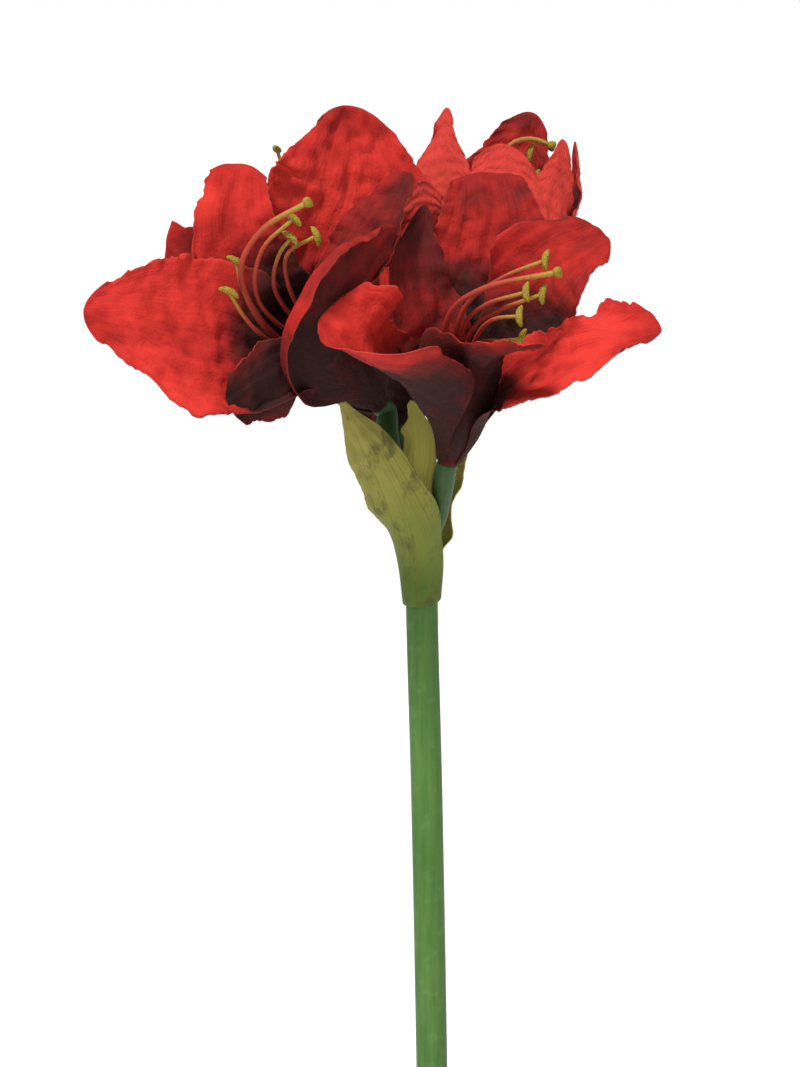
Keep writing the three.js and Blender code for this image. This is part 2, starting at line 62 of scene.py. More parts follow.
def seen(place):  # pixels across, pixels down, and millimetres behind the stem's plane
    across, down, behind = place
    scaleThere = picture["scale"] * (picture["distance"] + behind) / picture["distance"]
    eye = eyePlace()
    right, up = across - picture["width"] / 2, picture["height"] / 2 - down
    return Vector((eye.x + right * scaleThere, behind, eye.z + up * scaleThere))


studio = {
    "background": (1.0, 1.0, 1.0), "ambient": 0.3, "sensor": 36, "farthest": 100,
    "floorSize": 30, "floorColour": (0.94, 0.94, 0.94, 1), "floorRoughness": 0.9,
    "sun": 4.1, "sunSpread": 15, "sunFrom": (-0.26, -0.5, 0.82), "sunHeight": 3,
    "fill": 3, "fillFrom": (0.9, -1.2, 0.9), "fillSize": 0.9, "fillAim": (0, 0, 0.5),
}


def setStudio():
    halfHeight = picture["height"] / 2 * picture["scale"] / picture["distance"]
    bpy.ops.object.camera_add(location=eyePlace() * metre, rotation=(math.pi / 2, 0, 0))
    camera = bpy.context.object
    camera.name = "camera"
    camera.data.sensor_width = studio["sensor"]
    camera.data.lens = studio["sensor"] / 2 / halfHeight
    camera.data.clip_end = studio["farthest"]
    bpy.context.scene.camera = camera

    bpy.ops.mesh.primitive_plane_add(size=studio["floorSize"])
    floor = bpy.context.object
    floor.name = "floor"
    paint = Finish("plainFloor")
    paint.surface({"Base Color": studio["floorColour"], "Roughness": studio["floorRoughness"]})
    floor.data.materials.append(paint.material)

    bpy.ops.object.light_add(type="SUN", location=(0, 0, studio["sunHeight"]))
    sun = bpy.context.object
    sun.data.energy = studio["sun"]
    sun.data.angle = math.radians(studio["sunSpread"])
    sun.rotation_euler = Vector(studio["sunFrom"]).to_track_quat("Z", "Y").to_euler()
    bpy.ops.object.light_add(type="AREA", location=studio["fillFrom"])
    fill = bpy.context.object
    fill.data.energy = studio["fill"]
    fill.data.size = studio["fillSize"]
    towards = Vector(studio["fillFrom"]) - Vector(studio["fillAim"])
    fill.rotation_euler = towards.to_track_quat("Z", "Y").to_euler()

    world = bpy.data.worlds.new("paleRoom")
    bpy.context.scene.world = world
    world.use_nodes = True
    tree = world.node_tree
    tree.nodes.clear()
    rays = tree.nodes.new("ShaderNodeLightPath")
    strength = tree.nodes.new("ShaderNodeMapRange")
    strength.inputs["To Min"].default_value = studio["ambient"]
    strength.inputs["To Max"].default_value = 1
    sky = tree.nodes.new("ShaderNodeBackground")
    sky.inputs["Color"].default_value = (*studio["background"], 1)
    out = tree.nodes.new("ShaderNodeOutputWorld")
    tree.links.new(rays.outputs["Is Camera Ray"], strength.inputs["Value"])
    tree.links.new(strength.outputs["Result"], sky.inputs["Strength"])
    tree.links.new(sky.outputs["Background"], out.inputs["Surface"])
    bpy.context.scene.view_settings.view_transform = "Standard"
    bpy.context.scene.view_settings.look = "None"


class Wire:  # a socket that takes part in sums
    def __init__(self, finish, socket):
        self.finish = finish
        self.socket = socket

    def math(self, operation, *values):
        return self.finish.node("ShaderNodeMath", {"operation": operation}, dict(enumerate(values)))

    def __add__(self, other):
        return self.math("ADD", self, other)

    def __radd__(self, other):
        return self.math("ADD", other, self)

    def __sub__(self, other):
        return self.math("SUBTRACT", self, other)

    def __rsub__(self, other):
        return self.math("SUBTRACT", other, self)

    def __mul__(self, other):
        return self.math("MULTIPLY", self, other)

    def __rmul__(self, other):
        return self.math("MULTIPLY", other, self)

    def bounded(self):
        return self.finish.node("ShaderNodeClamp", {}, {0: self})


class Finish:  # one material and the nodes that make it
    def __init__(self, name):
        self.material = bpy.data.materials.new(name)
        self.material.use_nodes = True
        self.tree = self.material.node_tree
        self.tree.nodes.clear()

    def node(self, kind, settings, inputs, out=0):
        made = self.tree.nodes.new(kind)
        for key, value in settings.items():
            if key == "stops":
                ramp = made.color_ramp
                while len(ramp.elements) < len(value):
                    ramp.elements.new(1)
                for element, (place, colour) in zip(ramp.elements, value):
                    element.position = place
                    element.color = colour
            else:
                setattr(made, key, value)
        for key, value in inputs.items():
            if isinstance(value, Wire):
                self.tree.links.new(value.socket, made.inputs[key])
            else:
                made.inputs[key].default_value = value
        return Wire(self, made.outputs[out])

    def attribute(self, name):
        return self.node("ShaderNodeAttribute", {"attribute_name": name}, {}, "Fac")

    def place(self, stretch=(1, 1, 1)):
        spot = self.node("ShaderNodeTexCoord", {}, {}, "Object")
        return self.node("ShaderNodeMapping", {}, {"Vector": spot, "Scale": stretch})

    def sheet(self, stretch=(1, 1, 1)):
        spot = self.node("ShaderNodeTexCoord", {}, {}, "UV")
        return self.node("ShaderNodeMapping", {}, {"Vector": spot, "Scale": stretch})

    def cloud(self, vector, scale, detail=3, roughness=0.5, twist=0):
        grain = {"Scale": scale, "Detail": detail, "Roughness": roughness, "Distortion": twist}
        return self.node("ShaderNodeTexNoise", {}, {"Vector": vector, **grain})

    def spread(self, value, low, high):  # 0 below low, 1 above high
        softly = {"interpolation_type": "SMOOTHSTEP"}
        return self.node("ShaderNodeMapRange", softly, {0: value, 1: low, 2: high})

    def colours(self, value, stops):
        return self.node("ShaderNodeValToRGB", {"stops": stops}, {0: value})

    def blend(self, factor, first, second, way="MIX"):
        settings = {"data_type": "RGBA", "blend_type": way}
        return self.node("ShaderNodeMix", settings, {0: factor, 6: first, 7: second}, 2)

    def bump(self, height, strength, depth):
        inputs = {"Height": height, "Strength": strength, "Distance": depth}
        return self.node("ShaderNodeBump", {}, inputs)

    def surface(self, inputs):
        shader = self.node("ShaderNodeBsdfPrincipled", {}, inputs)
        out = self.tree.nodes.new("ShaderNodeOutputMaterial")
        self.tree.links.new(shader.socket, out.inputs["Surface"])


def smooth(value, low, high):  # 0 below low, 1 above high
    share = min(1.0, max(0.0, (value - low) / (high - low)))
    return share * share * (3 - 2 * share)


def mix(low, high, share):
    return low + (high - low) * share


class Spine:  # a smooth line through points, walked by share of its length
    def __init__(self, points, perSpan=40):
        self.points = []
        last = len(points) - 1
        for index in range(last):
            here, there = points[index], points[index + 1]
            before = points[index - 1] if index else here * 2 - there
            beyond = points[index + 2] if index + 2 <= last else there * 2 - here
            pairs = (before, here), (here, there), (there, beyond)
            lag, span, lead = [max((b - a).length, 1e-4) ** 0.5 for a, b in pairs]
            leave = (here - before) / lag - (there - before) / (lag + span) + (there - here) / span
            reach = (there - here) / span - (beyond - here) / (span + lead) + (beyond - there) / lead
            leave, reach = leave * span, reach * span
            for step in range(perSpan + (index == last - 1)):
                t = step / perSpan
                place = here * (2 * t**3 - 3 * t**2 + 1) + leave * (t**3 - 2 * t**2 + t)
                self.points.append(place + there * (3 * t**2 - 2 * t**3) + reach * (t**3 - t**2))
        self.lengths = [0.0]
        for a, b in zip(self.points, self.points[1:]):
            self.lengths.append(self.lengths[-1] + (b - a).length)
        self.length = self.lengths[-1]

    def at(self, share):
        goal = min(1.0, max(0.0, share)) * self.length
        index = min(max(bisect.bisect_right(self.lengths, goal) - 1, 0), len(self.points) - 2)
        part = (goal - self.lengths[index]) / (self.lengths[index + 1] - self.lengths[index])
        return self.points[index].lerp(self.points[index + 1], part)

    def along(self, share):
        return (self.at(min(1, share + 0.004)) - self.at(max(0, share - 0.004))).normalized()


def margin(rootHalf, widths):  # a blade's half width, smooth through the widths at its quarters
    values = [rootHalf, *widths]
    last = len(values) - 1

    def half(t):
        index = min(int(t * last), last - 1)
        part = t * last - index
        a, b = values[max(index - 1, 0)], values[index]
        c, d = values[index + 1], values[min(index + 2, last)]
        bend = (2 * a - 5 * b + 4 * c - d) * part**2 + (3 * b - a - 3 * c + d) * part**3
        return (2 * b + (c - a) * part + bend) / 2

    return half


def flat(vector, against):  # what is left of vector at a right angle to against
    return vector - against * vector.dot(against) / against.dot(against)


def newest(name):
    made = bpy.context.object
    made.name = name
    made.data.name = name
    return made


def tag(piece, name, value):  # a number on every corner point, for the piece's material
    layer = piece.data.attributes.get(name) or piece.data.attributes.new(name, "FLOAT", "POINT")
    for index, item in enumerate(layer.data):
        item.value = value(index)


def joined(name, parts):  # one smooth piece of them all
    bpy.ops.object.select_all(action="DESELECT")
    for part in parts:
        part.select_set(True)
    bpy.context.view_layer.objects.active = parts[0]
    if len(parts) > 1:
        bpy.ops.object.join()
    piece = newest(name)
    bpy.ops.object.shade_smooth()
    bpy.ops.object.select_all(action="DESELECT")
    return piece


def applied(piece, kind, **settings):
    bpy.context.view_layer.objects.active = piece
    modifier = piece.modifiers.new(kind.lower(), kind)
    for key, value in settings.items():
        setattr(modifier, key, value)
    bpy.ops.object.modifier_apply(modifier=modifier.name)


def finished(piece, finish, slot, *nodes):
    piece.data.materials.clear()
    piece.data.materials.append(finish.material)
    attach(piece, "root")
    if nodes:
        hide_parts(*nodes)
    print("made", piece.name, len(piece.data.polygons), "faces")


# A closed tube of rings: a capped cylinder is cut into rings, and each ring is set down by ringAt
def ringed(name, sides, rings, ringAt):
    bpy.ops.mesh.primitive_cylinder_add(vertices=sides, radius=1, depth=1, end_fill_type="NGON")
    piece = newest(name)
    upwards = [abs(piece.data.vertices[a].co.z - piece.data.vertices[b].co.z) > 0.5
               for a, b in (edge.vertices for edge in piece.data.edges)]
    bpy.ops.object.mode_set(mode="EDIT")
    bpy.ops.mesh.select_mode(type="EDGE")
    bpy.ops.mesh.select_all(action="DESELECT")
    bpy.ops.object.mode_set(mode="OBJECT")
    for edge, chosen in zip(piece.data.edges, upwards):
        edge.select = chosen
    bpy.ops.object.mode_set(mode="EDIT")
    bpy.ops.mesh.subdivide(number_cuts=rings - 1)
    bpy.ops.object.mode_set(mode="OBJECT")
    levels = []
    for vertex in piece.data.vertices:
        share = vertex.co.z + 0.5
        levels.append(share)
        vertex.co = ringAt(share, math.atan2(vertex.co.y, vertex.co.x)) * metre
    tag(piece, "along", lambda index: levels[index])
    return piece


def tube(name, points, radii, sides=12, rings=24):
    spine = Spine(points)
    side = spine.along(0).orthogonal().normalized()
    frames = []
    for ring in range(rings + 1):
        ahead = spine.along(ring / rings)
        side = flat(side, ahead).normalized()
        frames.append((spine.at(ring / rings), side.copy(), ahead.cross(side)))

    def ringAt(share, turn):
        middle, across, other = frames[round(share * rings)]
        place = share * (len(radii) - 1)
        first = min(int(place), len(radii) - 2)
        radius = mix(radii[first], radii[first + 1], place - first)
        return middle + across * (radius * math.cos(turn)) + other * (radius * math.sin(turn))

    return ringed(name, sides, rings, ringAt)


# A thin blade: a flat grid whose points are laid on the surface, then given its thickness
def blade(name, surface, along, across, thick, tags):
    bpy.ops.mesh.primitive_grid_add(x_subdivisions=across, y_subdivisions=along, size=2)
    piece = newest(name)
    shares = [((vertex.co.y + 1) / 2, vertex.co.x) for vertex in piece.data.vertices]
    laid = [surface(t, s) for t, s in shares]
    for vertex, (place, facing) in zip(piece.data.vertices, laid):
        vertex.co = place * metre
    count = len(shares)
    applied(piece, "SOLIDIFY", thickness=thick * metre, offset=0, use_even_offset=False)
    place, facing = laid[count // 2]
    firstIsInner = (piece.data.vertices[count // 2].co - place * metre).dot(facing) > 0
    for tagName, value in tags.items():
        tag(piece, tagName,
            lambda index: value(*shares[index % count], (index < count) == firstIsInner))
    return piece


# What a petal or bract has if it says nothing else. cup and lip are degrees, lobes are places where
# its edge stands out (share of its length, side, millimetres, width), the rest are millimetres
plainLeaf = {
    "unfurl": 0.6, "cup": (24, 12), "lip": (0, 0), "ruffle": 2, "round": 8, "lobes": (), "hem": 0,
    "crumple": 1.8, "ragged": 1.2, "crease": 0.7, "flutter": 1.4, "creaseWidth": 2.2,
}


# The blade is cupped round its stalk at the root, then turned to its face. t runs from root to tip,
# and s from -1 at its right edge to 1 at its left one
def leafSurface(spinePoints, side, rootHalf, leaf, seed):
    leaf = {**plainLeaf, "tipFace": leaf["face"], "right": leaf["left"], **leaf}
    face, tipFace = Vector(leaf["face"]).normalized(), Vector(leaf["tipFace"]).normalized()
    wrap, unfurl, cup, lip, lobes = (leaf[key] for key in ("wrap", "unfurl", "cup", "lip", "lobes"))
    spine = Spine(spinePoints)
    tipDrop = leaf["round"] / spine.length
    leftMargin, rightMargin = margin(rootHalf, leaf["left"]), margin(rootHalf, leaf["right"])
    shift = Vector((seed * 7.3, seed * 3.1, seed * 1.7))

    def ripple(x, y, layer, origin=shift):
        return noise.noise(Vector((x, y, layer)) + origin)

    def cupAt(t):
        if t < 0.2:
            return wrap
        if t < unfurl:
            return mix(wrap, cup[0], smooth(t, 0.2, unfurl))
        return mix(cup[0], cup[1], smooth(t, unfurl, 1))

    def surface(t, s):
        reach = t - tipDrop * s * s * t**4
        ahead = spine.along(reach)
        stalkward = ahead.cross(flat(side, ahead).normalized())
        outward = face.lerp(tipFace, smooth(t, 0.5, 1))
        normal = flat(stalkward.lerp(outward, smooth(t, 0.15, 0.5)), ahead).normalized()
        across = normal.cross(ahead)
        half = leftMargin(t) if s > 0 else rightMargin(t)
        half += sum(out * math.exp(-(((t - at) / wide) ** 2))
                    for at, edge, out, wide in lobes if edge * s > 0)
        far, spread = t * spine.length, smooth(t, 0.2, 0.5)
        row = Vector((0, 5.0 if s > 0 else -5.0, 0)) + shift
        bay, nick = ripple(far * 0.1, 0, 0, row), ripple(far * 0.38, 0, 4, row)
        frayed = 1.5 * bay + 0.8 * nick + 0.35 * ripple(far * 1.3, 0, 9, row)
        half += leaf["ragged"] * frayed * abs(s) ** 3 * smooth(t, 0.25, 0.5)
        bend = math.radians(cupAt(t))
        roll = math.radians(lip[1] if s > 0 else lip[0]) * spread
        edge = half * max(0, abs(s) - 0.5) ** 2 * 2
        phase = 16 * t + (1.9 if s > 0 else 0)
        wave = math.sin(phase) * leaf["ruffle"] * s * s * smooth(t, 0.15, 0.6)
        tuck = math.copysign(1, s) * edge * (1 - math.cos(roll))
        sideways = half * math.sin(s * bend) / bend - tuck
        rise = half * (1 - math.cos(s * bend)) / bend + edge * math.sin(roll) + wave
        groove = math.exp(-((s * half / leaf["creaseWidth"]) ** 2))
        rise -= leaf["crease"] * spread * groove * (1 - smooth(t, 0.8, 1))
        drop = leaf["hem"] * (1 - s * s) * (1 - smooth(t, 0, 0.3))
        point = spine.at(reach) + across * sideways - ahead * drop
        out = s * half
        fold, dimple = ripple(out * 0.06, far * 0.04, 0), ripple(out * 0.14, far * 0.14, 6)
        pleat = abs(ripple(out * 0.15 + far * 0.03, far * 0.035, 3))
        buckle = abs(ripple(out * 0.09, far * 0.11, 12))
        curl = ripple(far * 0.12, 0, 8, row) + 0.5 * ripple(far * 0.3, 0, 5, row)
        crumpled = fold * (0.6 + 0.8 * s * s) + 0.9 * pleat + 0.9 * buckle + 0.45 * dimple
        rise += spread * (leaf["crumple"] * crumpled + leaf["flutter"] * curl * s**4)
        return point + normal * rise, normal

    return surface


petals = {
    "along": 96, "across": 40, "thick": 0.5, "darkSpread": 0.24, "shade": 0.35, "ribbedShade": 0.1,
}
tubeSizes = {
    "plug": 5.4, "plugHeight": 3.5, "root": 4.7, "neckHeight": 15, "neck": 9.5, "stagger": 0.7,
    "wrap": 38,
}

# Places are as seen() takes them. left and right are a petal's half widths at its quarters (right is
# as left if it isn't given), dark is how far up its inner and its outer side stay dark, spread how
# softly that ends, lean how it slants, tint and shade the least darkness inside and outside. That
# darkness is partly the fabric's dyed dark throat and back and partly painted shade, laid on petals
# that sit deep in a bloom or under others
leftBloom = {
    "base": (378, 404, -12), "mouth": (285, 332, -52), "ring": -12, "stalk": (388, 436, -11),
    "antherLines": ((0.8, 0, -0.6), (0.8, 0, -0.6), (0.25, 0, -1),
                    (0.8, 0, -0.6), (0.9, 0, -0.4)),
    "petals": {
        "side": {
            "shoulder": (255, 352, -58), "middle": (166, 328, -82), "tip": (83, 312, -88),
            "face": (-0.2, -0.9, 0.35), "left": (12, 33, 35, 11), "right": (12, 34, 33, 15),
            "lobes": ((0.7, 1, 6, 0.06), (0.84, 1, -3, 0.05), (0.88, -1, 2.5, 0.06)),
            "cup": (20, 6), "dark": (0.55, 0.5), "spread": 0.14, "lean": 0.01, "ragged": 1.6,
            "crumple": 2.8,
        },
        "low": {
            "shoulder": (315, 372, -54), "middle": (264, 385, -74), "tip": (228, 402, -84),
            "face": (0, 0.95, 0.3), "left": (12, 18, 17, 12), "right": (12, 18, 18, 13),
            "cup": (26, 10), "round": 6, "dark": (0.8, 1.25),
        },
        "right": {
            "shoulder": (330, 358, -58), "middle": (342, 300, -72), "tip": (396, 227, -64),
            "face": (-0.6, 0.7, 0.4), "left": (16, 23, 20, 8), "right": (13, 35, 29, 8),
            "cup": (30, 14), "lip": (-60, 0), "dark": (0.62, 0.9), "spread": 0.45, "innerDyeAndShade": 0.34,
        },
        "inner": {
            "shoulder": (330, 305, -46), "middle": (365, 248, -50), "tip": (410, 173, -46),
            "face": (-0.6, -0.75, 0.1), "left": (10, 15, 17, 12), "right": (10, 15, 17, 8),
            "cup": (20, 10), "dark": (0.55, 0.6), "innerDyeAndShade": 0.5, "shade": 0.5,
        },
        "top": {
            "shoulder": (310, 285, -36), "middle": (345, 190, -30), "tip": (351, 107, -22),
            "face": (0.5, -0.85, 0.2), "left": (12, 30, 38, 16), "right": (12, 20, 43, 22),
            "cup": (16, 6), "round": 8, "dark": (0.42, 0.5), "crumple": 3, "innerDyeAndShade": 0.12,
        },
        "rear": {
            "shoulder": (258, 300, -48), "middle": (233, 225, -58), "tip": (238, 164, -50),
            "face": (-0.1, -0.95, 0.2), "left": (12, 22, 20, 11), "right": (12, 24, 22, 13),
            "cup": (20, 8), "round": 5, "dark": (0.68, 0.5), "lean": -0.14, "spread": 0.3,
            "crumple": 2.6, "innerDyeAndShade": 0.22,
        },
    },
    "stamens": [
        [(258, 300, -66), (262, 250, -76), (293, 219, -80)],
        [(275, 290, -64), (279, 255, -72), (291, 238, -76)],
        [(290, 290, -64), (287, 255, -70), (316, 236, -74)],
        [(262, 325, -62), (243, 290, -74), (236, 262, -78)],
        [(268, 340, -62), (245, 318, -76), (229, 292, -84)],
    ],
    "style": [(262, 322, -62), (241, 268, -80), (262, 230, -86), (308, 202, -88)],
}

frontBloom = {
    "base": (448, 461, -25), "mouth": (480, 335, -60), "ring": 0, "stalk": (438, 516, -6),
    "antherLine": (0.1, 0.2, 1),
    "petals": {
        "left": {
            "shoulder": (415, 395, -65), "middle": (368, 359, -83), "tip": (321, 316, -86),
            "face": (0, -0.35, 0.93), "tipFace": (0.1, -0.65, 0.65),
            "left": (12, 31, 28, 10), "right": (12, 26, 34, 25), "cup": (92, 50),
            "lobes": ((0.69, 1, 6.5, 0.09),), "round": 4,
            "dark": (0.62, 0.76), "ruffle": 5, "spread": 0.34, "shade": 0.42,
        },
        "low": {
            "shoulder": (474, 376, -63), "middle": (492, 358, -86), "tip": (545, 348, -100),
            "face": (0, 0.45, 0.9), "tipFace": (0.1, -0.2, 0.95),
            "left": (12, 20, 13, 7), "right": (12, 30, 10, 6), "cup": (88, 20),
            "dark": (0.6, 0.9), "shade": 0.5,
        },
        "right": {
            "shoulder": (505, 390, -52), "middle": (580, 352, -76), "tip": (662, 331, -80),
            "face": (-0.15, -0.8, 0.6), "left": (12, 18, 17, 19), "right": (12, 25, 18, 7),
            "lobes": ((0.8, 1, -3, 0.05), (0.92, 1, 3.5, 0.06)),
            "cup": (24, 10), "ruffle": 3, "dark": (0.4, 0.5), "lean": -0.1, "spread": 0.12,
            "ragged": 1.8, "crumple": 2.4,
        },
        "side": {
            "shoulder": (515, 335, -44), "middle": (553, 272, -52), "tip": (607, 237, -46),
            "face": (-0.3, -0.9, 0.3), "left": (12, 18, 26, 19), "right": (12, 22, 21, 11),
            "cup": (22, 8), "dark": (0.72, 0.5), "lean": -0.08, "crumple": 2.8, "innerDyeAndShade": 0.44,
        },
        "top": {
            "shoulder": (475, 300, -36), "middle": (488, 225, -32), "tip": (485, 173, -22),
            "face": (0, -1, 0.1), "left": (12, 22, 24, 16), "right": (12, 22, 28, 17),
            "cup": (20, 8), "round": 5, "dark": (0.68, 0.5), "crumple": 3.4, "innerDyeAndShade": 0.4,
        },
        "rear": {
            "shoulder": (430, 335, -46), "middle": (418, 270, -48), "tip": (424, 206, -40),
            "face": (0.35, -0.9, 0.2), "left": (12, 18, 15, 5),
            "cup": (20, 10), "dark": (0.55, 0.6), "innerDyeAndShade": 0.66,
        },
    },
    "stamens": [
        [(462, 312, -62), (500, 279, -74), (546, 260, -78)],
        [(465, 325, -62), (485, 305, -74), (527, 292, -84)],
        [(472, 330, -62), (500, 310, -74), (543, 294, -80)],
        [(475, 340, -64), (492, 320, -78), (520, 316, -88)],
        [(478, 345, -62), (500, 341, -73), (522, 339, -80)],
    ],
    "style": [(448, 318, -62), (480, 290, -76), (558, 272, -84)],
}

backBloom = {
    "base": (399, 427, 6), "mouth": (508, 165, 60), "ring": -5, "stalk": (409, 475, 2),
    "antherLine": (0.1, 0.2, 1), "plain": {"ruffle": 0.8, "dark": (0.8, 0.35), "ribs": 1},
    "petals": {
        "right": {
            "shoulder": (505, 295, 42), "middle": (545, 205, 48), "tip": (563, 139, 56),
            "face": (-0.3, 0.9, 0.2), "left": (10, 17, 22, 7), "right": (10, 15, 14, 3),
            "cup": (26, 20),
        },
        "far": {
            "shoulder": (525, 300, 62), "middle": (577, 205, 72), "tip": (577, 142, 78),
            "face": (-0.9, -0.3, 0.2), "left": (10, 18, 16, 4), "right": (10, 18, 17, 5),
            "cup": (24, 16), "dark": (0.9, 0.35),
        },
        "rear": {
            "shoulder": (480, 290, 58), "middle": (508, 195, 76), "tip": (532, 114, 84),
            "face": (-0.1, -1, 0.1), "left": (12, 24, 31, 12), "right": (12, 24, 25, 10),
            "cup": (20, 10), "ruffle": 1, "dark": (0.7, 0.4), "innerDyeAndShade": 0.4,
        },
        "left": {
            "shoulder": (452, 275, 36), "middle": (441, 185, 38), "tip": (446, 107, 50),
            "face": (0.4, 0.9, 0.1), "left": (10, 18, 17, 4), "right": (15, 22, 24, 5),
            "cup": (24, 20),
        },
        "fold": {
            "shoulder": (450, 290, -8), "middle": (428, 228, -27), "tip": (423, 180, -32),
            "face": (-0.3, 0.9, 0.3), "left": (12, 13, 12, 8), "right": (20, 10, 14, 9),
            "cup": (24, 10),
        },
        "front": {
            "shoulder": (475, 295, 24), "middle": (500, 205, 26), "tip": (506, 144, 38),
            "face": (0, 1, 0.15), "left": (12, 23, 26, 13),
            "cup": (26, 16),
        },
    },
    "stamens": [
        [(488, 262, 52), (512, 195, 64), (531, 152, 66)],
        [(483, 262, 56), (500, 200, 68), (505, 170, 70)],
        [(490, 262, 55), (520, 205, 67), (536, 178, 68)],
        [(486, 262, 58), (508, 210, 69), (515, 182, 71)],
        [(487, 262, 54), (514, 215, 63), (524, 190, 64)],
    ],
    "style": [(484, 262, 51), (494, 190, 60), (510, 145, 62), (532, 139, 64), (552, 146, 66)],
}

rearBloom = {
    "base": (384, 420, 24), "mouth": (290, 290, 90), "ring": 0, "stalk": (398, 470, 14),
    "antherLine": (0.2, 1, 0.1), "plain": {"dark": (0.4, 0.5)},
    "petals": {
        "back": {
            "shoulder": (370, 360, 76), "middle": (350, 345, 118), "tip": (335, 355, 148),
            "face": (-0.3, 0.4, 0.9), "left": (12, 24, 24, 8),
        },
        "low": {
            "shoulder": (340, 360, 62), "middle": (285, 345, 92), "tip": (240, 345, 112),
            "face": (-0.2, 0.5, 0.85), "left": (11, 20, 20, 6), "dark": (0.4, 0.6),
        },
        "left": {
            "shoulder": (315, 325, 52), "middle": (235, 268, 68), "tip": (165, 247, 74),
            "face": (-0.1, 0.75, 0.6), "left": (12, 24, 20, 12), "right": (12, 24, 20, 13),
            "dark": (0.4, 0.95), "round": 1,
        },
        "high": {
            "shoulder": (340, 300, 60), "middle": (285, 235, 84), "tip": (255, 205, 92),
            "face": (-0.3, 0.8, 0.3), "left": (11, 20, 20, 6),
        },
        "top": {
            "shoulder": (365, 300, 58), "middle": (345, 215, 84), "tip": (338, 160, 92),
            "face": (-0.2, 0.9, 0.3), "left": (12, 24, 24, 8),
        },
        "right": {
            "shoulder": (380, 320, 70), "middle": (375, 250, 112), "tip": (388, 205, 140),
            "face": (-0.5, 0.5, 0.6), "left": (15, 25, 20, 6), "right": (15, 24, 20, 6),
        },
    },
    "stamens": [
        [(340, 330, 60), (300, 230, 95), (277, 149, 100)],
        [(330, 320, 70), (305, 260, 105), (290, 225, 120)],
        [(335, 325, 75), (310, 275, 110), (300, 245, 122)],
        [(325, 320, 70), (290, 265, 100), (272, 235, 112)],
        [(330, 325, 75), (300, 290, 108), (285, 268, 120)],
    ],
    "style": [(325, 320, 75), (290, 260, 108), (265, 220, 124)],
}

blooms = {"left": leftBloom, "front": frontBloom, "back": backBloom, "rear": rearBloom}

petalLook = {
    "bright": (0.56, 0.032, 0.024, 1), "red": (0.36, 0.017, 0.013, 1),
    "maroon": (0.12, 0.011, 0.01, 1), "black": (0.024, 0.01, 0.009, 1),
    "blush": (0.52, 0.06, 0.045, 1), "edge": (0.42, 0.07, 0.05, 1), "nap": (0.6, 0.06, 0.05, 1),
    "sheen": 0.03, "sheenTint": (1.0, 0.35, 0.3, 1), "roughness": 0.75, "specular": 0.07,
    "ribs": {"Scale": 8, "Distortion": 4, "Detail": 2, "Detail Scale": 1.2},
    "relief": 0.7, "reliefDepth": 0.0013,
}


def petalFinish():
    paint = Finish("velvetPetal")
    gloom, inner, ribs = paint.attribute("gloom"), paint.attribute("inner"), paint.attribute("ribs")
    side, spot, look = paint.attribute("side"), paint.place(), petalLook
    patches, blots = paint.cloud(spot, 30, 3, 0.6), paint.cloud(spot, 90, 4, 0.6)
    veins = paint.cloud(paint.sheet((17, 1.8, 1)), 1, 4, 0.65)
    uneven = (patches - 0.5) * 1.5 + (blots - 0.5) * 0.7 + (veins - 0.5) * 0.4
    # depth runs the colour from bright red to black: partly the dyed dark throat and back, partly
    # painted shade deep in the bloom, with random patches of uneven colour
    depth = (gloom * 0.88 + 0.13 + uneven * (1 - gloom * 0.55)).bounded()
    stops = [(0.0, look["bright"]), (0.36, look["red"]), (0.7, look["maroon"]), (1.0, look["black"])]
    colour = paint.colours(depth, stops)
    blushed = paint.blend(ribs * (1 - inner) * (1 - gloom) * 0.5, colour, look["blush"])
    rim = paint.spread(side, 0.965, 1.0) * 0.3
    edged = paint.blend(rim * (1 - gloom * 0.7), blushed, look["edge"])
    nap = paint.cloud(spot, 2600, 2)
    napped = paint.blend(paint.spread(nap, 0.45, 0.8) * 0.05, edged, look["nap"])
    waves = {"Vector": paint.sheet(), **look["ribs"]}
    ribbing = paint.node("ShaderNodeTexWave", {"bands_direction": "Y"}, waves)
    crinkle = paint.cloud(spot, 330, 3, 0.6, 0.6)
    lines = paint.cloud(paint.sheet((40, 4, 1)), 1, 3, 0.6)
    height = crinkle * 0.6 + lines * 0.5 + ribbing * ribs * 0.55 + nap * 0.1
    paint.surface({
        "Base Color": napped, "Roughness": look["roughness"], "Sheen Weight": look["sheen"],
        "Sheen Roughness": 0.5, "Sheen Tint": look["sheenTint"],
        "Specular IOR Level": look["specular"],
        "Normal": paint.bump(height, look["relief"], look["reliefDepth"]),
    })
    return paint


def bloomAxis(bloom):
    return (seen(bloom["mouth"]) - seen(bloom["base"])).normalized()


